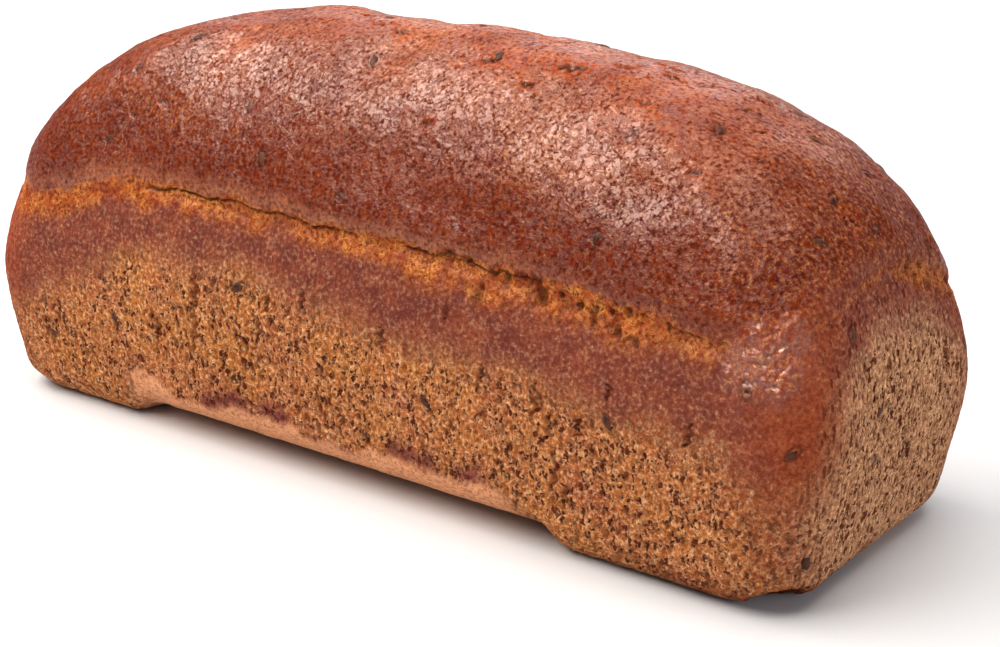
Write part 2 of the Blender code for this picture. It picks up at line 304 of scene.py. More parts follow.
def cap_index():
    """Number of each cap point, with the border taken from the band's top row."""
    index = np.empty((n_x + 1, n_y + 1), dtype=np.int64)
    index[1:-1, 1:-1] = n_band + np.arange((n_x - 1) * (n_y - 1)).reshape(n_x - 1, n_y - 1)
    top = n_rows * n_loop
    index[0, ::-1] = top + np.arange(n_y + 1)
    index[:, 0] = top + n_y + np.arange(n_x + 1)
    index[-1, :] = top + n_y + n_x + np.arange(n_y + 1)
    index[::-1, -1] = top + (2 * n_y + n_x + np.arange(n_x + 1)) % n_loop
    return index


side_faces = band_quads()
cap_grid = cap_index()
cap_faces = np.stack([cap_grid[:-1, :-1], cap_grid[1:, :-1], cap_grid[1:, 1:], cap_grid[:-1, 1:]], axis=-1)
all_faces = np.concatenate([side_faces.reshape(-1, 4), cap_faces.reshape(-1, 4)])


def point_normals(points):
    """Smooth normals of the whole skin, weighted by area."""
    corners = points[all_faces]
    face_normals = np.cross(corners[:, 2] - corners[:, 0], corners[:, 3] - corners[:, 1])
    normals = np.zeros_like(points)
    for axis in range(3):
        weights = np.repeat(face_normals[:, axis], 4)
        normals[:, axis] = np.bincount(all_faces.ravel(), weights=weights, minlength=len(points))
    return normals / np.maximum(np.linalg.norm(normals, axis=1, keepdims=True), 1e-12)


form_normals = point_normals(form_points)
body_points = form_points + form_normals * large_relief(form_points)[:, None]
curl = curl_amount(body_points)
body_points[:, 2] += CURL_LIFT * curl
body_points[:, 2] = np.maximum(body_points[:, 2], 0.0)
body_normals = point_normals(body_points)
print("outward:", bool((body_normals[n_band:, 2] > 0).mean() > 0.99), "faces:", len(all_faces))

# %% [markdown]
# ## Noise and pores
#
# Nothing in a crust repeats, so its relief is drawn from noise: a hashed random number at each corner
# of a lattice, blended smoothly between. Pores are drawn one to a lattice cell, each with its own
# place and size, as bowls that stand a little taller than wide, because the dough slid up the tin.

# %% Noise on a lattice
def lattice_random(cells, draw):
    """A steady random number from 0 to 1 for each row of whole numbers."""
    mixed = np.full(len(cells), np.uint32(draw * 747796405 + 2891336453 & 0xFFFFFFFF))
    for axis, factor in zip(range(cells.shape[1]), (374761393, 668265263, 2246822519)):
        mixed = (mixed ^ (cells[:, axis].astype(np.int64) & 0xFFFFFFFF).astype(np.uint32)) * np.uint32(factor)
        mixed = mixed ^ (mixed >> np.uint32(15))
    mixed = mixed * np.uint32(2654435761)
    mixed = mixed ^ (mixed >> np.uint32(13))
    return mixed.astype(np.float64) / 4294967295.0


def noise(points, size, draw):
    """Smooth noise from -1 to 1 with bumps about size apart, on rows of coordinates."""
    scaled = points / size
    corner = np.floor(scaled)
    part = scaled - corner
    part = part * part * part * (part * (6.0 * part - 15.0) + 10.0)
    corner = corner.astype(np.int64)
    axes = points.shape[1]
    total = np.zeros(len(points))
    for number in range(2**axes):
        offset = np.array([(number >> axis) & 1 for axis in range(axes)])
        weight = np.prod(np.where(offset, part, 1.0 - part), axis=1)
        total += weight * lattice_random(corner + offset, draw)
    return 2.0 * total - 1.0


def layered(points, size, draw, layers=3):
    """Noise in layers, each half as large and half as strong as the one before."""
    total, strength = 0.0, 1.0
    for layer in range(layers):
        total = total + strength * noise(points, size / 2.0**layer, draw + layer)
        strength *= 0.5
    return total / (2.0 - 2.0 ** (1 - layers))


# %% Pores on the wall, in millimetres along it and up it
def pores(flat, cell, smallest, largest, share, draw):
    """Depth from 0 to 1 of bowls scattered one to a cell. share is the part of the cells that has one."""
    cell = np.array(cell)
    scaled = flat / cell
    home = np.floor(scaled).astype(np.int64)
    depth = np.zeros(len(flat))
    for step_x in (-1, 0, 1):
        for step_y in (-1, 0, 1):
            cells = home + (step_x, step_y)
            place_x = cells[:, 0] + 0.5 + 0.8 * (lattice_random(cells, draw) - 0.5)
            place_y = cells[:, 1] + 0.5 + 0.8 * (lattice_random(cells, draw + 1) - 0.5)
            size = smallest + (largest - smallest) * lattice_random(cells, draw + 2) ** 2
            there = lattice_random(cells, draw + 3) < share
            lean = 0.5 * (lattice_random(cells, draw + 4) - 0.5)
            up = (scaled[:, 1] - place_y) * cell[1]
            aside = (scaled[:, 0] - place_x) * cell[0] + lean * up
            tall = 1.25 + 0.7 * lattice_random(cells, draw + 5)
            off = (aside / size) ** 2 + (up / (size * tall)) ** 2
            bowl = np.clip(1.0 - off, 0.0, 1.0) ** 0.7
            depth = np.maximum(depth, np.where(there, bowl * (0.55 + 0.45 * size / largest), 0.0))
    return depth


# %% [markdown]
# ## What lies where on the crust
#
# A tin loaf isn't one finish. The crown is dark and glossy. The crack shows torn golden crumb. Under it
# comes a smooth band that touched the tin's rim, then the porous wall, and the upright corners baked
# smooth. Each of these is a weight from 0 to 1 at every point, used for both relief and colour.

# %% Coordinates of every point
belt = band_points.reshape(n_rows + 1, n_loop, 3)[int(np.argmin(np.abs(levels + 0.4)))]
belt_steps = np.linalg.norm(np.roll(belt, -1, axis=0) - belt, axis=1)
belt_place = np.concatenate([[0.0], np.cumsum(belt_steps)[:-1]])
belt_length = belt_steps.sum()
corner_places = belt_place[[0, n_y, n_y + n_x, 2 * n_y + n_x]]

x, y, z = body_points.T
n_all = len(body_points)
on_band = np.arange(n_all) < n_band
along = np.zeros(n_all)
along[:n_band] = np.tile(belt_place, n_rows + 1)
under = np.zeros(n_all)
under[:n_band] = np.repeat(HALF_WIDTH * (1.0 - base_spread), n_loop)
wall_flat = np.stack([along, z - under], axis=1)[:n_band] / MM
print("round the wall:", round(belt_length, 4), "m")


# %% Fields that close on themselves round the wall
# Millimetres over which the end of the wall's length blends into its beginning
CLOSING = 15.0


def closed(field):
    """A field over the band, on millimetres along and up it, whose end blends into its beginning."""
    values = np.zeros(n_all)
    values[:n_band] = field(wall_flat)
    length = belt_length / MM
    ending = np.nonzero(wall_flat[:, 0] > length - CLOSING)[0]
    share = smooth_step(wall_flat[ending, 0], length - CLOSING, length)
    values[ending] += share * (field(wall_flat[ending] - (length, 0.0)) - values[ending])
    return values


def band_noise(size_along, size_up, draw, layers=3):
    """Noise over the band, with its own bump size along and up the wall, and 0 on the cap."""
    return closed(lambda flat: layered(flat / (size_along, size_up), 1.0, draw, layers))


# %% The crack's ragged line, and the crown over it
ragged_line = 0.9 * MM * band_noise(7.0, 400.0, 11) + 0.5 * MM * band_noise(1.7, 400.0, 17, 2)
over_crack = z - crack_height(x, y) - ragged_line
near_side = smooth_step(x, *NEAR_REACH)
crack_open = np.clip(1.2 * crack_gape(x, y) * (1.0 + 1.6 * band_noise(9.0, 400.0, 23)) - 0.05, 0.0, 1.0)
crown_weight = smooth_step(over_crack, -0.3 * MM, 1.2 * MM)
# The crown's colour starts at a ragged edge, which blurs towards the near end
crown_edge = (1.5 + 2.2 * band_noise(5.0, 5.0, 25)) * MM
crown_blur = (3.0 + 4.0 * near_side) * MM
crown_tint = smooth_step(over_crack, crown_edge - 0.5 * crown_blur, crown_edge + crown_blur)
crown_tint = np.where(on_band, crown_tint, 1.0)
# A smooth pinkish rim lies over the crack, mostly on the far half of the front
rim_height = (7.5 + 2.5 * band_noise(22.0, 400.0, 27, 2)) * MM
rim_along = smooth_step(x, -0.125, -0.095) * smooth_step(-x, -0.090, -0.050)
rim_share = np.where(np.abs(x) < 0.135, 0.25 + 0.75 * rim_along, 0.25)
rim_fade = 1.0 - smooth_step(over_crack, 0.15 * rim_height, rim_height)
rim_weight = rim_share * rim_fade * (over_crack > 0) * on_band
print("rim share:", round(float(rim_weight.mean()), 4))

# %% Torn crumb, mostly under the crack
# It is more ragged at places along the front, and on the near end past its corner
torn_places = (hump(x, 0.090, 0.024) + 0.5 * hump(x, 0.052, 0.020)) * (y < 0)
torn_places = torn_places + near_side * smooth_step(y, -0.014, 0.0)
raggedness = np.clip(0.35 + 0.65 * torn_places + 0.3 * band_noise(30.0, 400.0, 29), 0.0, 1.0)
end_tear = 0.30 + 0.5 * smooth_step(y, -0.005, 0.012)
torn_size = 1.0 + near_side * (end_tear - 1.0) * smooth_step(y, -0.049, -0.035)
# How far it reaches under and over the crack
torn_below = (3.6 + 5.6 * raggedness + 3.5 * band_noise(9.0, 60.0, 31)) * MM * torn_size
torn_above = (1.2 + 4.0 * raggedness + 2.5 * band_noise(6.0, 60.0, 33)) * MM * torn_size
torn_weight = 1.0 - smooth_step(-over_crack, 0.25 * torn_below, np.maximum(torn_below, 0.1 * MM))
torn_fade = smooth_step(over_crack, 0.2 * torn_above, np.maximum(torn_above, 0.1 * MM))
torn_weight = torn_weight * (1.0 - torn_fade)
torn_weight = torn_weight * on_band * (1.0 - 0.35 * near_side)
print("torn share:", round(float(torn_weight.mean()), 4))

# %% The crumpled, glossy fold at the near corner
CRUMPLE_PLACE, CRUMPLE_REACH = (0.1325, -0.0470, 0.0670), 0.0100
from_crumple = np.linalg.norm(body_points - np.array(CRUMPLE_PLACE), axis=1)
from_crumple = from_crumple * (1.0 + 0.5 * layered(body_points, 6.0 * MM, 35, 2))
crumple_weight = 1.0 - smooth_step(from_crumple, 0.3 * CRUMPLE_REACH, 1.4 * CRUMPLE_REACH)
closing = 0.4 * smooth_step(x, 0.094, 0.118) * (y < 0)
torn_weight = torn_weight * (1.0 - 0.7 * crumple_weight) * (1.0 - closing)
crown_tint = np.maximum(crown_tint, 0.8 * crumple_weight)

# %% Corners, ends and the smooth lip of the curled edge
from_corner = np.min(np.abs(along[:, None] - corner_places[None, :]), axis=1)
from_corner = np.minimum(from_corner, belt_length - along)
corner_weight = hump(from_corner + 2.0 * MM * band_noise(14.0, 14.0, 37), 0.0, 13.0 * MM) * on_band
corner_weight = corner_weight * (1.0 - 0.65 * smooth_step(-over_crack, 0.018, 0.045))
# Faces that look along the loaf are its ends
end_weight = smooth_step(np.abs(body_normals[:, 0]), 0.62, 0.94) * on_band
# The curled edge's lip, pale partly in its own crust and partly as painted light from the bright floor,
# with an uneven top, and the purple fringe over it
lip_top = (11.5 + 8.0 * band_noise(14.0, 300.0, 41)) * MM
lip_along = smooth_step(x, CURL_START - CURL_STEP, CURL_START)
lip_along = lip_along * smooth_step(-x, -CURL_END, -CURL_END + CURL_STEP)
over_lip = z - CURL_LIFT * (1.0 - 0.5 * smooth_step(z, 0.006, 0.020)) - lip_top
lip_weight = lip_along * (y < 0) * (1.0 - smooth_step(over_lip, -3.0 * MM, 0.5 * MM)) * (1.0 - end_weight)
fringe_weight = hump(over_lip, 1.5 * MM, 3.6 * MM) * smooth_step(band_noise(9.0, 9.0, 45), -0.25, 0.45)
fringe_weight = fringe_weight * lip_along * (y < 0) * (1.0 - end_weight)
print("lip share:", round(float(lip_weight.mean()), 4))

# %% Where the wall is open, and its pores
# How far under the crack the front wall starts to open, at places along the loaf
OPEN_PLACES = (-0.130, -0.100, -0.078, -0.050, -0.020, 0.020, 0.060, 0.110, 0.135)
OPEN_UNDER = (0.020, 0.017, 0.009, 0.006, 0.010, 0.014, 0.015, 0.015, 0.020)
open_top = np.where(y < 0, np.interp(x, OPEN_PLACES, OPEN_UNDER), 0.012)
open_top = open_top * (1.0 - end_weight) + 5.0 * MM * end_weight + 7.0 * MM * band_noise(24.0, 24.0, 43)
open_wall = smooth_step(-over_crack, open_top, open_top + 14.0 * MM)
open_wall = open_wall * (1.0 - 0.8 * corner_weight) * (1.0 - 0.95 * lip_weight)
pore_share = open_wall * smooth_step(z, 0.5 * MM, 4.0 * MM) * (0.75 + 0.45 * band_noise(18.0, 18.0, 47))
large_pores = closed(lambda flat: pores(flat, (2.9, 3.7), 0.40, 1.25, 0.72, 51))
small_pores = closed(lambda flat: pores(flat, (1.6, 2.1), 0.34, 0.70, 0.90, 61))
pore_depth = np.maximum(large_pores, 0.75 * small_pores) * np.clip(pore_share, 0.0, 1.0)
print("pores cover", round(float((pore_depth[:n_band] > 0.15).mean()), 3), "of the walls")

# %% [markdown]
# ## Scars, tears and seeds
#
# Where the dough dragged on the tin it left upright scars. On the crown small blisters tore open in
# short dark slits. Linseeds lie in the crust, each in a shallow dent of its own.

# %% Marks drawn on the skin
mark_draw = np.random.default_rng(5)


def nearest_index(place):
    return int(np.argmin(((body_points - place) ** 2).sum(axis=1)))


# %% A slit on the skin, and the two kinds of it
def slit(place, direction, length, width):
    """Weight from 0 to 1 of a short curved slit at a place on the skin, pointing along a direction."""
    centre = body_points[place]
    normal = body_normals[place]
    lengthwise = direction - normal * direction.dot(normal)
    lengthwise = lengthwise / np.linalg.norm(lengthwise)
    sideways = np.cross(normal, lengthwise)
    near = np.nonzero(((body_points - centre) ** 2).sum(axis=1) < (0.8 * length) ** 2)[0]
    offset = body_points[near] - centre
    run = offset @ lengthwise / (length / 2.0)
    bend = 0.12 * length * (run**2) + 0.25 * width * np.sin(9.0 * run + place)
    half = width / 2.0 * np.sqrt(np.clip(1.0 - run**2, 0.0, 1.0)) + 1e-7
    return near, np.clip(1.0 - ((offset @ sideways - bend) / half) ** 2, 0.0, 1.0) * (np.abs(run) < 1.0)


mark_depth, scar_weight, tear_weight = np.zeros(n_all), np.zeros(n_all), np.zeros(n_all)


def scar(place, length, width):
    """An upright scar of the wall."""
    near, weight = slit(place, np.array([0.1, 0.1, 1.0]), length * MM, width * MM)
    scar_weight[near] = np.maximum(scar_weight[near], weight)


def tear(place, turn, length, width):
    """A tear of the crown: a slit painted dark as shade, in an orange-brown surround."""
    direction = np.array([math.cos(turn), math.sin(turn), 0.0])
    near, weight = slit(place, direction, 1.2 * length * MM, 1.6 * width * MM)
    mark_depth[near] = np.maximum(mark_depth[near], weight)
    near, weight = slit(place, direction, 1.7 * length * MM, 4.0 * width * MM)
    tear_weight[near] = np.maximum(tear_weight[near], weight)


# %% Scars on the walls
# The front wall's own: place along, height, length and width in millimetres
SCARS = ((-53, 49, 13, 3.4), (-54, 38, 11, 2.8), (-70, 34, 8, 2.6), (-28, 43, 8, 2.2), (-11, 55, 6, 1.9),
         (18, 50, 7, 2.8), (40, 62, 5, 1.8), (53, 48, 6, 1.8), (70, 44, 11, 2.8), (74, 38, 9, 2.8),
         (84, 40, 6, 3.6), (76, 25, 12, 2.4), (79, 19, 8, 2.4), (92, 52, 5, 1.8), (116, 46, 7, 2.2))
for scar_x, scar_z, length, width in SCARS:
    scar(nearest_index(np.array([scar_x * MM, -HALF_WIDTH, scar_z * MM])), length, width)
RANDOM_SCARS = 16
scars_left = RANDOM_SCARS
while scars_left > 0:
    place = int(mark_draw.integers(0, n_band))
    length, width = mark_draw.uniform(4.0, 9.0), mark_draw.uniform(1.4, 2.6)
    if -over_crack[place] > 14.0 * MM and z[place] > 8.0 * MM and y[place] > -0.045:
        scar(place, length, width)
        scars_left -= 1

# %% Tears on the crown
# Place along and across, length and width in millimetres
TEARS = ((-18, -7, 6, 1.5), (-9, -10, 5, 1.6), (28, -17, 6, 1.6), (54, -15, 8, 1.9), (45, -23, 4, 1.0),
         (66, -8, 5, 1.5), (74, 2, 6, 1.3), (78, -4, 5, 1.3), (20, -35, 4, 1.2), (80, -20, 4, 1.1))
for tear_x, tear_y, length, width in TEARS:
    off_place = (x - tear_x * MM) ** 2 + (y - tear_y * MM) ** 2 + 10.0 * (z < 0.090)
    tear(int(np.argmin(off_place)), 0.2, length, width)
RANDOM_TEARS = 18
for _ in range(RANDOM_TEARS):
    place = int(mark_draw.integers(n_band, n_all))
    tear(place, mark_draw.normal(0.0, 0.5), mark_draw.uniform(2.5, 5.5), mark_draw.uniform(0.8, 1.4))
print("marks touch", int((mark_depth + scar_weight > 0).sum()), "points")

# %% Linseeds, in the places that the solid has them
SEED_COUNT, SEED_SPACING, SEED_DRAW = 76, 0.013, 11
SEED_LENGTH, SEED_WIDTH, SEED_THICKNESS = 0.0047, 0.0025, 0.0014
SEED_CLEAR_OF_BASE, SEED_CLEAR_OF_CRACK = 0.012, 0.005


def form_of_cube(u, v, w):
    """A place on the loaf's form for a point of the cube's sides or top."""
    ring = max(abs(u), abs(v)) if w == 1.0 else 1.0
    level = 1.0 - (1.0 - CROWN_RIM) * ring if w == 1.0 else (w + 1.0) / 2.0 * (1.0 + CROWN_RIM) - 1.0
    return loaf_form(np.array(u / ring), np.array(v / ring), np.array(level))


def seed_places():
    """Places of the linseeds, drawn evenly over the walls and the crown and kept apart."""
    draw = np.random.default_rng(SEED_DRAW)
    places = []
    while len(places) < SEED_COUNT:
        on_crown = draw.random() < 0.56
        if on_crown:
            u, v = draw.uniform(-1.0, 1.0, 2)
            cube_point = (u, v, 1.0)
        else:
            around = draw.uniform(-1.0, 1.0)
            side = draw.choice([-1.0, 1.0])
            height = draw.uniform(-0.75, 1.0)
            on_side = draw.random() < 0.74
            cube_point = (around, side, height) if on_side else (side, around, height)
        place = form_of_cube(*cube_point)
        from_crack = abs(place[2] - crack_height(place[0], place[1]))
        turn = draw.uniform(0.0, math.pi)
        size = draw.uniform(0.85, 1.12)
        if place[2] < SEED_CLEAR_OF_BASE or from_crack < SEED_CLEAR_OF_CRACK:
            continue
        if all(np.linalg.norm(place - other) > SEED_SPACING for other, _, _ in places):
            places.append((place, turn, size))
    return places


# %% How each linseed lies, and its dent
seeds = []
seed_dent = np.zeros(n_all)
for place, turn, size in seed_places():
    spot = nearest_index(place)
    normal = Vector(body_normals[spot])
    across = normal.cross(Vector((0.31, 0.17, 0.93))).normalized()
    lying = Matrix((across, normal.cross(across), normal)).transposed() @ Matrix.Rotation(turn, 3, "Z")
    seeds.append((spot, lying, size))
    offset = body_points - body_points[spot]
    near = np.nonzero((offset**2).sum(axis=1) < (1.6 * SEED_LENGTH) ** 2)[0]
    inside = offset[near] @ np.array(lying)
    off = (inside[:, 0] / SEED_WIDTH) ** 2 + (inside[:, 1] / SEED_LENGTH) ** 2
    seed_dent[near] = np.maximum(seed_dent[near], hump(np.sqrt(off), 0.52 * size, 0.13))
print("linseeds:", len(seeds))

# %% [markdown]
# ## The fine relief
#
# The relief of a crust is holes, creases and torn flaps. It could be a displacement modifier on a
# texture, but the holes have to sit where the weights say, so every point is pushed in or out along its
# normal here. The depths are real ones: a pore is up to 0.8 mm deep, a wrinkle of the crown a tenth of a
# millimetre, and a torn hole at the crack 1.6 mm.

# %% Push the skin
PORE_DEPTH, SCAR_DEPTH, TEAR_DEPTH, SEED_DENT = 0.80 * MM, 0.9 * MM, 1.0 * MM, 0.28 * MM
# The crown: soft lumps, wrinkles, creases, and the crumpled fold
crown_lumps = layered(body_points, 9.0 * MM, 71, 3)
crown_wrinkle = layered(body_points, 2.4 * MM, 81, 2)
crown_crease = np.clip(1.0 - np.abs(layered(body_points, 5.0 * MM, 91, 2)) / 0.20, 0.0, 1.0)
fine = crown_weight * (0.40 * crown_lumps + 0.13 * crown_wrinkle - 0.14 * crown_crease) * MM
folds = 1.0 - 2.0 * np.abs(layered(body_points * (1.0, 1.0, 1.5), 3.6 * MM, 95, 3))
fine += crumple_weight * 1.2 * folds * MM

# The crack: torn strands and clods, the gap, a second gap under it, holes, and the edge over it
strands = 1.0 - np.abs(band_noise(1.5, 4.0, 101, 3)) * 2.0
clods = band_noise(4.0, 3.2, 107, 3)
fine += torn_weight * (0.25 + 0.75 * raggedness) * (0.40 * strands + 0.75 * clods - 0.25) * MM
gap = hump(over_crack, -0.2 * MM, 0.45 * MM) * crack_open * on_band
second_line = -over_crack - (3.2 + 1.6 * band_noise(8.0, 400.0, 113)) * MM
second_gap = hump(second_line, 0.0, 0.5 * MM) * np.clip(raggedness - 0.35, 0.0, 1.0) * on_band
second_gap = second_gap * smooth_step(band_noise(6.0, 400.0, 117), -0.1, 0.4)
torn_holes = closed(lambda flat: pores(flat, (5.4, 4.6), 0.7, 2.1, 0.8, 141))
torn_holes = torn_holes * torn_weight * smooth_step(raggedness, 0.35, 0.8)
lip_edge = hump(over_crack, 0.9 * MM, 0.8 * MM) * crack_open * on_band
fine += (-1.5 * gap - 0.9 * second_gap - 1.6 * torn_holes + 0.35 * lip_edge) * MM

# The walls: lumps and grain, then every hollow of the skin, and the chip
wall_weight = (1.0 - crown_weight) * on_band
fine += wall_weight * 0.24 * MM * band_noise(5.0, 6.0, 121, 3)
fine += wall_weight * 0.12 * MM * band_noise(1.1, 1.5, 127, 2) * (1.0 - 0.5 * lip_weight)
fine -= PORE_DEPTH * pore_depth + SEED_DENT * seed_dent
fine -= SCAR_DEPTH * scar_weight + TEAR_DEPTH * mark_depth
from_chip = np.linalg.norm(body_points - np.array(CHIP_PLACE), axis=1)
chip_edge = from_chip + 2.0 * MM * layered(body_points, 4.0 * MM, 131, 2)
chip_weight = 1.0 - smooth_step(chip_edge, 6.0 * MM, 10.0 * MM)
fine -= chip_weight * (0.9 + 0.9 * layered(body_points, 2.4 * MM, 137, 3)) * MM
skin_points = body_points + body_normals * fine[:, None]
skin_points[:, 2] = np.maximum(skin_points[:, 2], 0.0)
skin_normals = point_normals(skin_points)
print("relief from", round(float(fine.min()) * 1000, 2), "to", round(float(fine.max()) * 1000, 2), "mm")

# %% [markdown]
# ## From arrays to Blender meshes
#
# One mesh of that size is heavy to bake, so the skin is cut into pieces along rows and columns. Each
# keeps the normals of the whole skin, so no seam shows, and a flat map in which its rows and columns
# are straight, so its baked colours stay sharp.

# %% Weights carried to the material
CARRIED = {
    "zones": ("crown", "torn", "corner", "lip"),
    "marks": ("hollow_shade", "crack", "end", "tear"),
    "finish": ("open", "rim", "seed_dent_shade", "chip"),
    "local": ("crumple", "fringe", "scar", "bran"),
    "tone": ("low_shade", "foot", "shine", "pink"),
}

# %% Five weights for colour alone
# Painted shade on the crown's lower flanks, a darker foot at the near corner, and patches of more gloss
# The low weight is painted shade: the crown's flanks are painted darker low down, where the light from above
# falls less
low_shade_weight = 1.0 - smooth_step(over_crack + 8.0 * MM * layered(body_points, 20.0 * MM, 161, 3), 0.014, 0.042)
foot_weight = hump(x, 0.130, 0.045) * (y < 0) * (1.0 - smooth_step(z - 5.0 * MM * crown_lumps, 0.002, 0.009))
shine_weight = smooth_step(layered(body_points, 15.0 * MM, 171, 3), -0.35, 0.35)
# The paler top of the near end, patches with more bran, and painted shade in cracks and torn holes
pink_weight = near_side * hump(-over_crack, 7.0 * MM, 9.0 * MM) * end_weight
bran_field = layered(body_points, 26.0 * MM, 151, 3) + 0.6 * smooth_step(x, 0.09, 0.13)
bran_weight = smooth_step(bran_field, 0.0, 0.5)
crack_shade = np.clip(np.maximum.reduce([gap, 0.8 * second_gap, 0.85 * torn_holes]) * 1.2, 0.0, 1.0)
amounts = {
    "crown": crown_tint, "torn": torn_weight, "corner": corner_weight, "lip": lip_weight,
    "hollow_shade": np.maximum(pore_depth, mark_depth), "crack": crack_shade, "end": end_weight, "tear": tear_weight,
    "open": open_wall, "rim": rim_weight, "seed_dent_shade": seed_dent, "chip": chip_weight,
    "crumple": crumple_weight, "fringe": fringe_weight, "scar": scar_weight, "bran": bran_weight,
    "low_shade": low_shade_weight, "foot": foot_weight, "shine": shine_weight, "pink": pink_weight,
}
weights = {name: np.clip(np.stack([amounts[part] for part in parts], axis=1), 0.0, 1.0)
           for name, parts in CARRIED.items()}


# %% A piece of the skin as a mesh
def make_piece(name, faces, flat_map, material):
    """A mesh object of some of the skin's faces. flat_map gives each face corner its place in the map."""
    used, index = np.unique(faces.ravel(), return_inverse=True)
    mesh = bpy.data.meshes.new(name)
    mesh.vertices.add(len(used))
    mesh.vertices.foreach_set("co", skin_points[used].astype(np.float32).ravel())
    mesh.loops.add(index.size)
    mesh.loops.foreach_set("vertex_index", index.astype(np.int32).ravel())
    mesh.polygons.add(len(faces))
    mesh.polygons.foreach_set("loop_start", np.arange(0, index.size, 4, dtype=np.int32))
    mesh.update(calc_edges=True)
    for attribute, values in weights.items():
        layer = mesh.attributes.new(attribute, "FLOAT_COLOR", "POINT")
        layer.data.foreach_set("color", values[used].astype(np.float32).ravel())
    uv = mesh.uv_layers.new(name="OFBake")
    uv.data.foreach_set("uv", flat_map.astype(np.float32).ravel())
    mesh.shade_smooth()
    mesh.normals_split_custom_set_from_vertices(skin_normals[used].astype(np.float32).tolist())
    mesh.materials.append(material)
    piece = bpy.data.objects.new(name, mesh)
    bpy.context.scene.collection.objects.link(piece)
    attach(piece, "root")
    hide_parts("loaf")
    print(name, len(faces) * 2, "triangles")
    return piece


def grid_map(rows, columns):
    """Map places of the corners of a grid of quads, rows up and columns along, in the order of its quads."""
    low_v, low_u = np.meshgrid(np.arange(rows) / rows, np.arange(columns) / columns, indexing="ij")
    high_u, high_v = low_u + 1.0 / columns, low_v + 1.0 / rows
    corners = [(low_u, low_v), (high_u, low_v), (high_u, high_v), (low_u, high_v)]
    flat = np.stack([np.stack(corner, axis=-1) for corner in corners], axis=2).reshape(-1, 2)
    return 0.002 + 0.996 * flat


# %% [markdown]
# ## The crust's material
#
# A crust is starch and protein browned by heat. It is matt crumb under a skin of set starch, which is
# thick and glossy on the crown and almost gone where the tin rubbed it off. Crown and wall could be two
# materials, but a loaf has no hard border between them. So it is one material: the weights above lay its
# colours over each other, and a clear coat stands for the skin.

# %% Colours, and one helper for nodes
def linear(code):
    """An sRGB hex colour as linear light, with alpha 1."""
    values = [int(code[i : i + 2], 16) / 255.0 for i in (1, 3, 5)]
    return tuple(v / 12.92 if v <= 0.04045 else ((v + 0.055) / 1.055) ** 2.4 for v in values) + (1.0,)


def add(tree, kind, inputs=None, out=0, **settings):
    """Adds a node with its settings and inputs (values, hex colours or links), and returns an output."""
    node = tree.nodes.new(kind)
    for name, value in settings.items():
        setattr(node, name, value)
    for socket, value in (inputs or {}).items():
        if isinstance(value, bpy.types.NodeSocket):
            tree.links.new(value, node.inputs[socket])
        else:
            node.inputs[socket].default_value = linear(value) if isinstance(value, str) else value
    return node.outputs[out]


def paint(tree, ground, layers):
    """Lays colours over a ground, each by the product of its weights."""
    for colour, strength, *masks in layers:
        weight = strength
        for mask in masks:
            weight = add(tree, "ShaderNodeMath", {0: weight, 1: mask}, operation="MULTIPLY")
        ground = add(tree, "ShaderNodeMix", {0: weight, 6: ground, 7: colour}, out=2, data_type="RGBA")
    return ground


# %% Colours of the crust
CROWN_DEEP_AND_SHADE, CROWN_MIDDLE, CROWN_PALE, CROWN_DARK_AND_CREASE_SHADE = "#5e1604", "#96360c", "#c8661e", "#2e0802"
GOLD_FLECK, RIM_PINK, TEAR_ORANGE, CRUMPLE_RED = "#d4883e", "#b87450", "#9e4018", "#a43a0c"
TORN_BROWN, TORN_GOLD, TORN_PALE, CRACK_SHADE = "#983a0c", "#c86a16", "#efb563", "#2c1205"
WALL_MAUVE, WALL_PINK, WALL_TAN, WALL_GOLD = "#6c3832", "#a25638", "#be7244", "#be7638"
NET_PALE, WALL_DARK_AND_PIT_SHADE, PORE_SHADE, SCAR_BROWN_AND_SHADE = "#f7c492", "#571a08", "#431203", "#5a2012"
CORNER_BROWN, END_TAN_AND_LIGHT, LIP_TAN_AND_LIGHT, FRINGE_PURPLE = "#964526", "#bc8864", "#f6b080", "#70343a"
END_PINK, FOOT_RED, TEAR_SHADE = "#a8705c", "#5c1c16", "#270702"

# %% [markdown]
# ## Patterns finer than the mesh
#
# Between the pores that the mesh has lie thousands of smaller ones, and the crown is mottled and creased
# at a millimetre. That could all be mesh too, at ten times the faces. Instead each pattern is noise or
# cells at its real size in millimetres, and gives both colour and bump.

# %% Helpers for the patterns
def off_middle(tree, noise_value):
    """How far a noise is from its middle: it's near nothing along thin, wandering lines."""
    off = add(tree, "ShaderNodeMath", {0: noise_value, 1: 0.5}, operation="SUBTRACT")
    return add(tree, "ShaderNodeMath", {0: off}, operation="ABSOLUTE")


def hole_reach(tree, cell, largest):
    """A radius for each cell of a pattern from its own random number. Some come out without a hole."""
    draw = add(tree, "ShaderNodeSeparateColor", {0: cell.node.outputs[1]})
    return add(tree, "ShaderNodeMath", {0: draw, 1: largest, 2: -0.06}, operation="MULTIPLY_ADD")


# %% Patterns of the walls and ends
PIT_WIDTH, PIT_BEND, SPECK_WIDTH = 1.6, 3.2, 0.6
SLIT_SPACING, SLIT_BEND, SLIT_LEAN = 1.15, 0.7, 0.22


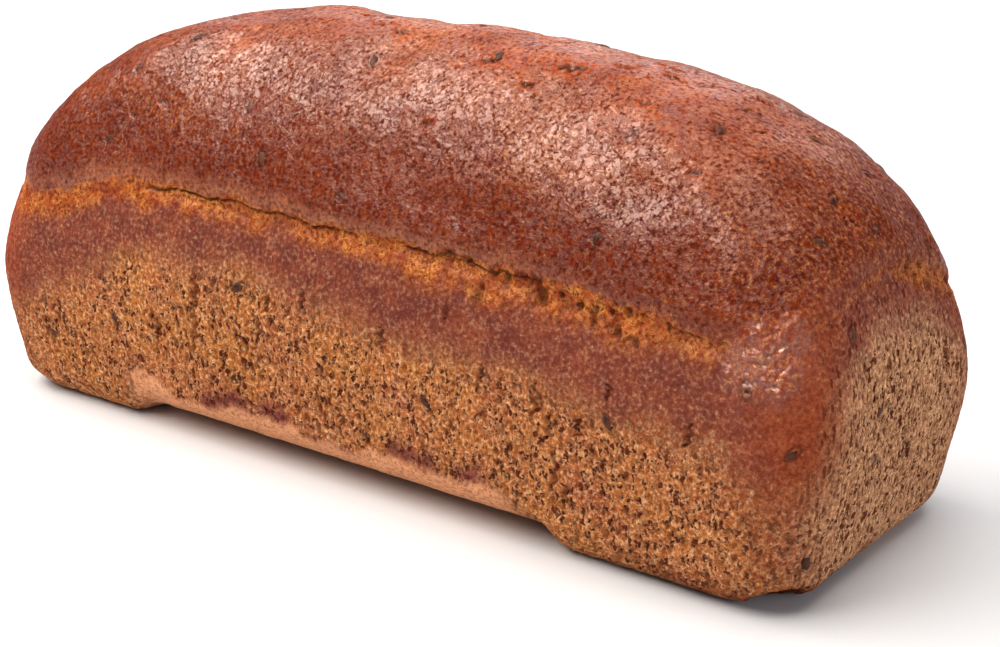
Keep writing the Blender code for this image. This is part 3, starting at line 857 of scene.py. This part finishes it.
def wall_patterns(tree, place, mm):
    """Pits and specks of the side walls and slits of the ends, with the values where each starts and ends."""
    # Pits drawn upwards by the rise of the dough, and bent so that none is round
    upright = add(tree, "ShaderNodeVectorMath", {0: place, 1: (1000.0, 1000.0, 640.0)}, operation="MULTIPLY")
    bend = add(tree, "ShaderNodeTexNoise", {0: mm, "Scale": 1 / PIT_WIDTH, "Detail": 2.0}, out=1)
    bent = add(tree, "ShaderNodeVectorMath", {0: bend, 1: (PIT_BEND,) * 3, 2: upright},
               operation="MULTIPLY_ADD")
    pit = add(tree, "ShaderNodeTexVoronoi", {0: bent, "Scale": 1 / PIT_WIDTH})
    pit_reach = hole_reach(tree, pit, 0.50)
    pit_edge = add(tree, "ShaderNodeMath", {0: pit_reach, 1: 0.17}, operation="ADD")
    rim_edge = add(tree, "ShaderNodeMath", {0: pit_reach, 1: 0.38}, operation="ADD")
    specks = add(tree, "ShaderNodeTexVoronoi", {0: bent, "Scale": 1 / SPECK_WIDTH})
    # Slits of the ends: half a millimetre wide and four times as tall, leaning a little
    tall = add(tree, "ShaderNodeMapping", {0: place, 2: (SLIT_LEAN, 0.0, 0.0), 3: (1000.0, 1000.0, 260.0)})
    slit_bent = add(tree, "ShaderNodeVectorMath", {0: bend, 1: (SLIT_BEND,) * 3, 2: tall},
                    operation="MULTIPLY_ADD")
    slit_cell = add(tree, "ShaderNodeTexVoronoi", {0: slit_bent, "Scale": 1 / SLIT_SPACING})
    slit_reach = hole_reach(tree, slit_cell, 0.42)
    slit_edge = add(tree, "ShaderNodeMath", {0: slit_reach, 1: 0.12}, operation="ADD")
    return {
        "pits": (pit, pit_edge, pit_reach),
        "pit rims": (pit, rim_edge, pit_edge),
        "specks": (specks, 0.34, 0.16),
        "slits": (slit_cell, slit_edge, slit_reach),
    }


# %% Patterns of browning, and the crown's creases
def crust_patterns(tree):
    """All patterns of the crust, on millimetres of the loaf itself."""
    place = add(tree, "ShaderNodeTexCoord", out=3)
    mm = add(tree, "ShaderNodeVectorMath", {0: place, 1: (1000.0, 1000.0, 1000.0)}, operation="MULTIPLY")
    # Patches of browning 25 mm across, blotches of 5 mm, and a mottled grain of 1.2 mm
    patches = add(tree, "ShaderNodeTexNoise", {0: mm, "Scale": 1 / 25, "Detail": 3.0})
    blotches = add(tree, "ShaderNodeTexNoise", {0: mm, "Scale": 1 / 5, "Detail": 4.0})
    grain = add(tree, "ShaderNodeTexNoise", {0: mm, "Scale": 1 / 1.2, "Detail": 4.0, "Roughness": 0.66})
    # Torn strands 2.4 mm apart, and the crown's creases 2.8 mm apart with a leathery grain between
    strand_noise = add(tree, "ShaderNodeTexNoise",
                       {0: mm, "Scale": 1 / 2.4, "Detail": 3.0, "Distortion": 0.6})
    wrinkles = add(tree, "ShaderNodeTexNoise", {0: mm, "Scale": 1 / 2.8, "Detail": 5.0, "Roughness": 0.62})
    leather = add(tree, "ShaderNodeTexNoise", {0: mm, "Scale": 1 / 0.95, "Detail": 2.0, "Roughness": 0.55})
    off_strand, off_crease = off_middle(tree, strand_noise), off_middle(tree, wrinkles)
    # Each pattern runs from 0 at its first value to 1 at its second
    spans = {
        "patches": (patches, 0.35, 0.65), "blotches": (blotches, 0.32, 0.68),
        "dark grain": (grain, 0.50, 0.38), "pale grain": (grain, 0.52, 0.66), "flecks": (grain, 0.67, 0.73),
        "strands": (off_strand, 0.035, 0.004), "creases": (off_crease, 0.022, 0.004),
        "domes": (off_crease, 0.0, 0.05),
    } | wall_patterns(tree, place, mm)
    patterns = {name: add(tree, "ShaderNodeMapRange", {0: value, 1: first, 2: second})
                for name, (value, first, second) in spans.items()}
    return patterns | {"grain": grain, "leather": leather}


# %% [markdown]
# ## Colours in layers
#
# Tin-baked wall is mauve where steam kept it soft under the rim, and tan where it is open, with pores
# painted dark as shade and pale rims. The crown is red-brown in patches, painted nearly black-red in its
# creases as shade, and flecked with bran. Torn crumb is golden. Each is painted as a baker would see
# it, from the ground up.

# %% The wall
def wall_colour(tree, weight, pattern):
    tan = paint(tree, WALL_PINK, [
        (WALL_TAN, 1.0, pattern["blotches"]),
        (WALL_GOLD, 0.9, pattern["patches"]),
        # The ends are painted paler: partly their own tan, partly painted light on the faces that look along
        # the loaf
        (END_TAN_AND_LIGHT, 0.9, weight["end"]),
        (END_PINK, 0.8, weight["pink"]),
        (NET_PALE, 0.40, pattern["pit rims"]),
        (NET_PALE, 0.70, pattern["pale grain"]),
    ])
    return paint(tree, WALL_MAUVE, [
        (WALL_PINK, 0.5, pattern["blotches"]),
        (NET_PALE, 0.22, pattern["pale grain"]),
        (tan, 1.0, weight["open"]),
        (CORNER_BROWN, 0.75, weight["corner"]),
        # Painted light: the lip faces down, and its pale colour is partly the floor's light painted in
        (LIP_TAN_AND_LIGHT, 0.62, weight["lip"]),
        (LIP_TAN_AND_LIGHT, 0.45, weight["lip"], pattern["blotches"]),
        (FRINGE_PURPLE, 0.85, weight["fringe"]),
        (NET_PALE, 0.45, pattern["flecks"]),
        (WALL_DARK_AND_PIT_SHADE, 0.50, pattern["specks"]),
        (WALL_DARK_AND_PIT_SHADE, 0.50, pattern["dark grain"]),
        # Painted shade in the wall's pits and the ends' slits; the specks and grain above are the crust's own
        # dark
        (WALL_DARK_AND_PIT_SHADE, 0.95, pattern["pits"], weight["open"]),
        (WALL_DARK_AND_PIT_SHADE, 0.80, pattern["slits"], weight["end"]),
        # The scars' grooves are painted darker: partly their own browner crust, partly painted shade
        (SCAR_BROWN_AND_SHADE, 0.75, weight["scar"]),
        # Painted shade in the pores and slits, and in the chip
        (PORE_SHADE, 0.90, weight["hollow_shade"]),
        (PORE_SHADE, 0.6, weight["chip"]),
        (FOOT_RED, 0.7, weight["foot"]),
    ])


# %% The crown and the torn crumb
def crown_colour(tree, weight, pattern):
    return paint(tree, CROWN_MIDDLE, [
        (CROWN_DEEP_AND_SHADE, 0.65, pattern["patches"]),
        (CROWN_PALE, 0.6, pattern["blotches"]),
        (CROWN_PALE, 0.40, weight["bran"]),
        # Painted shade, darker on the crown's lower flanks
        (CROWN_DEEP_AND_SHADE, 0.85, weight["low_shade"]),
        (RIM_PINK, 0.62, weight["rim"]),
        (CROWN_DARK_AND_CREASE_SHADE, 0.55, pattern["dark grain"]),
        # Painted shade in the crown's creases, which the bump also sinks
        (CROWN_DARK_AND_CREASE_SHADE, 0.40, pattern["creases"]),
        (GOLD_FLECK, 0.12, pattern["pale grain"]),
        (GOLD_FLECK, 0.25, pattern["pale grain"], weight["bran"]),
        (GOLD_FLECK, 0.6, pattern["flecks"]),
        (TEAR_ORANGE, 0.50, weight["tear"]),
        (CRUMPLE_RED, 0.5, weight["crumple"]),
        (TORN_PALE, 0.5, weight["crumple"], pattern["pale grain"]),
        # Painted shade in the tears' slits
        (TEAR_SHADE, 0.95, weight["hollow_shade"]),
    ])


def torn_colour(tree, pattern):
    return paint(tree, TORN_BROWN, [
        (TORN_GOLD, 0.75, pattern["blotches"]),
        (CROWN_DARK_AND_CREASE_SHADE, 0.7, pattern["dark grain"]),
        (CROWN_DARK_AND_CREASE_SHADE, 0.5, pattern["creases"]),
        (TORN_PALE, 0.7, pattern["strands"], pattern["blotches"]),
        (TORN_PALE, 0.40, pattern["pale grain"], pattern["blotches"]),
    ])


# %% The glossy skin over the matt crumb
def skin_coat(tree, weight, pattern):
    """How whole the skin is: on the crown's domes, broken in creases and tears, thin low down."""
    skin = add(tree, "ShaderNodeMapRange", {0: pattern["grain"], 1: 0.39, 2: 0.48, 3: 0.0, 4: 1.0})
    shine = add(tree, "ShaderNodeMapRange", {0: weight["shine"], 3: 0.70, 4: 1.0})
    low_shade = add(tree, "ShaderNodeMath", {0: weight["low_shade"], 1: 0.8}, operation="MULTIPLY")
    broken = add(tree, "ShaderNodeMath", {0: weight["rim"], 1: weight["tear"]}, operation="MAXIMUM")
    broken = add(tree, "ShaderNodeMath", {0: broken, 1: low_shade}, operation="MAXIMUM")
    dull = add(tree, "ShaderNodeMapRange", {0: broken, 3: 1.0, 4: 0.25})
    for share in (shine, weight["crown"], dull):
        skin = add(tree, "ShaderNodeMath", {0: skin, 1: share}, operation="MULTIPLY")
    torn_skin = add(tree, "ShaderNodeMath", {0: weight["torn"], 1: 0.12, 2: weight["crumple"]},
                    operation="MULTIPLY_ADD")
    return add(tree, "ShaderNodeMath", {0: skin, 1: torn_skin}, operation="MAXIMUM")


# %% Relief too fine for the mesh
def fine_height(tree, weight, pattern):
    """Height from 0 to 1: pits and slits of the wall, and the leathery domes of the crown."""
    pit_depth = add(tree, "ShaderNodeMath", {0: pattern["pits"], 1: weight["open"]}, operation="MULTIPLY")
    slit_depth = add(tree, "ShaderNodeMath", {0: pattern["slits"], 1: weight["end"]}, operation="MULTIPLY")
    deepest = add(tree, "ShaderNodeMath", {0: pit_depth, 1: slit_depth}, operation="MAXIMUM")
    wall = add(tree, "ShaderNodeMath", {0: pattern["grain"], 1: deepest}, operation="SUBTRACT")
    leather = add(tree, "ShaderNodeMath", {0: pattern["leather"], 1: 0.46}, operation="MULTIPLY")
    crown = add(tree, "ShaderNodeMath", {0: pattern["domes"], 1: 0.18, 2: leather}, operation="MULTIPLY_ADD")
    return add(tree, "ShaderNodeMix", {0: weight["crown"], 2: wall, 3: crown})


# %% The baked crust, put together
BUMP_DEPTH = 0.4 * MM


def carried_weights(tree):
    """The weights that the mesh carries, by name."""
    weight = {}
    for attribute, names in CARRIED.items():
        source = add(tree, "ShaderNodeAttribute", attribute_name=attribute).node
        parts = add(tree, "ShaderNodeSeparateColor", {0: source.outputs["Color"]}).node.outputs
        weight.update(zip(names, (parts[0], parts[1], parts[2], source.outputs["Alpha"])))
    return weight


def crust_material():
    """Baked whole wheat crust: matt, mottled crumb, and a clear coat for the crown's broken gleam."""
    material = bpy.data.materials.new("baked_whole_wheat_crust")
    material.use_nodes = True
    tree = material.node_tree
    weight, pattern = carried_weights(tree), crust_patterns(tree)
    crust = paint(tree, wall_colour(tree, weight, pattern), [
        (crown_colour(tree, weight, pattern), 1.0, weight["crown"]),
        (torn_colour(tree, pattern), 0.9, weight["torn"]),
        # Painted shade in the crack's gaps and torn holes, and round each linseed in its dent
        (CRACK_SHADE, 1.0, weight["crack"]),
        (CRACK_SHADE, 0.55, weight["seed_dent_shade"]),
    ])
    rough = add(tree, "ShaderNodeMapRange", {0: pattern["grain"], 1: 0.35, 2: 0.65, 3: 0.85, 4: 0.65})
    height = fine_height(tree, weight, pattern)
    bump = add(tree, "ShaderNodeBump", {"Strength": 1.0, "Distance": BUMP_DEPTH, "Height": height})
    shader = tree.nodes["Principled BSDF"]
    for socket, value in (
        ("Base Color", crust), ("Roughness", rough), ("Coat Weight", skin_coat(tree, weight, pattern)),
        ("Normal", bump), ("Coat Normal", bump),
    ):
        tree.links.new(value, shader.inputs[socket])
    # Starch has an IOR near 1.5. Dry crumb scatters nearly all light, and the glaze of set sugars is dense
    for socket, value in (
        ("IOR", 1.45), ("Specular IOR Level", 0.05), ("Coat Roughness", 0.16), ("Coat IOR", 1.70),
    ):
        shader.inputs[socket].default_value = value
    return material


# %% Cut the skin into its pieces
crust = crust_material()
crack_row = int(np.searchsorted(levels, 0.02))
far_columns, front_columns = slice(0, n_y), slice(n_y, n_y + n_x)
near_columns, back_columns = slice(n_y + n_x, 2 * n_y + n_x), slice(2 * n_y + n_x, n_loop)
half_y = n_y // 2
front_cap = cap_faces[:, :half_y].transpose(1, 0, 2)
back_cap = cap_faces[::-1, :half_y - 1 : -1].transpose(1, 0, 2)[..., [2, 3, 0, 1]]
for name, faces in (
    ("front_wall", side_faces[BASE_ROWS:crack_row, front_columns]),
    ("back_wall", side_faces[BASE_ROWS:crack_row, back_columns]),
    ("near_end", side_faces[BASE_ROWS:, near_columns]),
    ("far_end", side_faces[BASE_ROWS:, far_columns]),
    ("crown_front", np.concatenate([side_faces[crack_row:, front_columns], front_cap])),
    ("crown_back", np.concatenate([side_faces[crack_row:, back_columns], back_cap])),
    ("base", side_faces[:BASE_ROWS]),
):
    make_piece(name, faces.reshape(-1, 4), grid_map(*faces.shape[:2]), crust)

# %% [markdown]
# ## Linseeds
#
# A linseed is a flat drop, about 4.5 mm long, with a smooth coat that baking darkens and dulls. Each could
# be an object of its own, but they are one kind of thing and never move, so they are all in one mesh,
# sunk to about half their thickness in the places where the solid has them.

# %% The linseeds' coat
SEED_DARK, SEED_GREY = "#301208", "#5c3422"
SEED_SUNK = 0.55 * MM


def linseed_material():
    """Baked linseed: a hard brown coat, mottled and a little dull."""
    material = bpy.data.materials.new("baked_linseed_coat")
    material.use_nodes = True
    tree = material.node_tree
    shader = tree.nodes["Principled BSDF"]
    place = add(tree, "ShaderNodeTexCoord", out=3)
    mm = add(tree, "ShaderNodeVectorMath", {0: place, 1: (1000.0, 1000.0, 1000.0)}, operation="MULTIPLY")
    patch = add(tree, "ShaderNodeTexNoise", {0: mm, "Scale": 1 / 2.0, "Detail": 3.0})
    tone = add(tree, "ShaderNodeMapRange", {0: patch, 1: 0.35, 2: 0.65})
    coat = add(tree, "ShaderNodeMix", {0: tone, 6: SEED_DARK, 7: SEED_GREY}, out=2, data_type="RGBA")
    tree.links.new(coat, shader.inputs["Base Color"])
    rough = add(tree, "ShaderNodeMapRange", {0: patch, 1: 0.3, 2: 0.7, 3: 0.42, 4: 0.62})
    tree.links.new(rough, shader.inputs["Roughness"])
    shader.inputs["Specular IOR Level"].default_value = 0.15
    pitting = add(tree, "ShaderNodeTexNoise", {0: mm, "Scale": 1 / 0.4})
    bump = add(tree, "ShaderNodeBump", {"Strength": 0.3, "Distance": 0.1 * MM, "Height": pitting})
    tree.links.new(bump, shader.inputs["Normal"])
    return material


# %% The linseeds as one mesh
def linseeds_piece():
    """All linseeds as flattened spheres that taper to a point, in one mesh."""
    bm = bmesh.new()
    for spot, lying, size in seeds:
        made = bmesh.ops.create_uvsphere(bm, u_segments=12, v_segments=8, radius=0.5)["verts"]
        for vertex in made:
            taper = 1.0 - 0.30 * vertex.co.y - 1.1 * max(vertex.co.y, 0.0) ** 2
            vertex.co.x *= taper
            vertex.co.z *= 0.5 + 0.5 * taper
        sizes = Matrix.Diagonal((SEED_WIDTH, SEED_LENGTH, SEED_THICKNESS)) * size
        where = Vector(skin_points[spot]) - lying.col[2] * SEED_SUNK
        matrix = Matrix.Translation(where) @ lying.to_4x4() @ sizes.to_4x4()
        bmesh.ops.transform(bm, matrix=matrix, verts=made)
    mesh = bpy.data.meshes.new("linseeds")
    bm.to_mesh(mesh)
    bm.free()
    mesh.shade_smooth()
    mesh.materials.append(linseed_material())
    piece = bpy.data.objects.new("linseeds", mesh)
    bpy.context.scene.collection.objects.link(piece)
    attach(piece, "root")
    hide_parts("loaf")
    print("linseeds", sum(len(face.vertices) - 2 for face in mesh.polygons), "triangles")


linseeds_piece()

# %% [markdown]
# ## Floor and light
#
# The floor is plain pale board. A loaf is dark and bumpy, so it wants large soft lights: a warm one from
# the front left and one from above, which draw a broad gleam along the crown's shoulder and leave the
# walls in even light, and weaker ones from the near end and the back, which lift the shade.

# %% Floor
# Matt paint, a little cool, so that it looks neutral in the warm light
FLOOR_PALE = "#d6dde6"
floor_material = bpy.data.materials.new("painted_board")
floor_material.use_nodes = True
floor_shader = floor_material.node_tree.nodes["Principled BSDF"]
floor_shader.inputs["Base Color"].default_value = linear(FLOOR_PALE)
floor_shader.inputs["Roughness"].default_value = 0.7
floor_mesh = bpy.data.meshes.new("floor")
floor_mesh.from_pydata([(-3, -3, 0), (3, -3, 0), (3, 3, 0), (-3, 3, 0)], [], [(0, 1, 2, 3)])
floor_mesh.materials.append(floor_material)
floor = bpy.data.objects.new("floor", floor_mesh)
bpy.context.scene.collection.objects.link(floor)

# %% Even light from all round
WORLD_STRENGTH = 0.14
world = bpy.data.worlds.new("studio")
bpy.context.scene.world = world
world.use_nodes = True
world.node_tree.nodes["Background"].inputs[0].default_value = (1.0, 1.0, 1.0, 1.0)
world.node_tree.nodes["Background"].inputs[1].default_value = WORLD_STRENGTH


# %% Soft lights
def softbox(name, azimuth, elevation, size, brightness, colour, distance=1.5):
    """A soft rectangular light at angles round the loaf: azimuth 0 is in front of it, 90 off its near end."""
    turn, tilt = math.radians(azimuth), math.radians(elevation)
    away = Vector((math.sin(turn) * math.cos(tilt), -math.cos(turn) * math.cos(tilt), math.sin(tilt)))
    data = bpy.data.lights.new(name, "AREA")
    data.shape = "RECTANGLE"
    data.size, data.size_y = size
    data.energy = brightness * math.pi * size[0] * size[1]
    data.color = colour
    light = bpy.data.objects.new(name, data)
    light.location = away * distance + Vector((0.0, 0.0, 0.06))
    light.rotation_euler = away.to_track_quat("Z", "Y").to_euler()
    light.visible_camera = False
    bpy.context.scene.collection.objects.link(light)
    return light


WARM, WHITE = (1.0, 0.89, 0.78), (1.0, 1.0, 1.0)
# Name, azimuth, elevation, width and height in metres, brightness and colour
LIGHTS = (
    ("key", -56.0, 53.5, (1.9, 0.88), 7.9, WARM),
    ("overhead", 120.0, 80.0, (1.2, 1.0), 4.6, WARM),
    ("fill", 95.0, 14.0, (1.6, 0.7), 2.0, WHITE),
    ("backdrop", -160.0, 28.0, (2.0, 1.1), 1.3, WHITE),
    ("gleam", -36.0, 50.0, (1.9, 0.55), 7.0, WARM),
)
for name, azimuth, elevation, size, brightness, colour in LIGHTS:
    light = softbox(name, azimuth, elevation, size, brightness, colour)
    # The strip light called gleam shows in the glossy skin alone, along the crown's shoulder
    light.visible_diffuse = name != "gleam"
print("lights:", [row[0] for row in LIGHTS])
bpy.context.scene.view_settings.view_transform = "Standard"

# %% [markdown]
# ## Camera
#
# The camera stands in front of the loaf's near corner and looks a little down, as the photograph does.
# Its place comes from the angles at which the loaf's edges were seen.

# %% Camera
AZIMUTH, ELEVATION, ROLL = 36.07, 18.91, 0.61
DISTANCE, FOCAL, TARGET = 0.5544, 67.08, (0.0188, 0.0016, 0.0401)
turn, tilt, roll = (math.radians(angle) for angle in (AZIMUTH, ELEVATION, ROLL))
back = Vector((math.sin(turn) * math.cos(tilt), -math.cos(turn) * math.cos(tilt), math.sin(tilt)))
right = Vector((math.cos(turn), math.sin(turn), 0.0))
up = back.cross(right)
leaned_right = right * math.cos(roll) + up * math.sin(roll)
leaned_up = up * math.cos(roll) - right * math.sin(roll)
camera_data = bpy.data.cameras.new("camera")
camera_data.lens = FOCAL
camera_data.sensor_width = 36.0
camera = bpy.data.objects.new("camera", camera_data)
axes = Matrix((leaned_right, leaned_up, back)).transposed()
camera.matrix_world = Matrix.Translation(Vector(TARGET) + back * DISTANCE) @ axes.to_4x4()
bpy.context.scene.collection.objects.link(camera)
bpy.context.scene.camera = camera
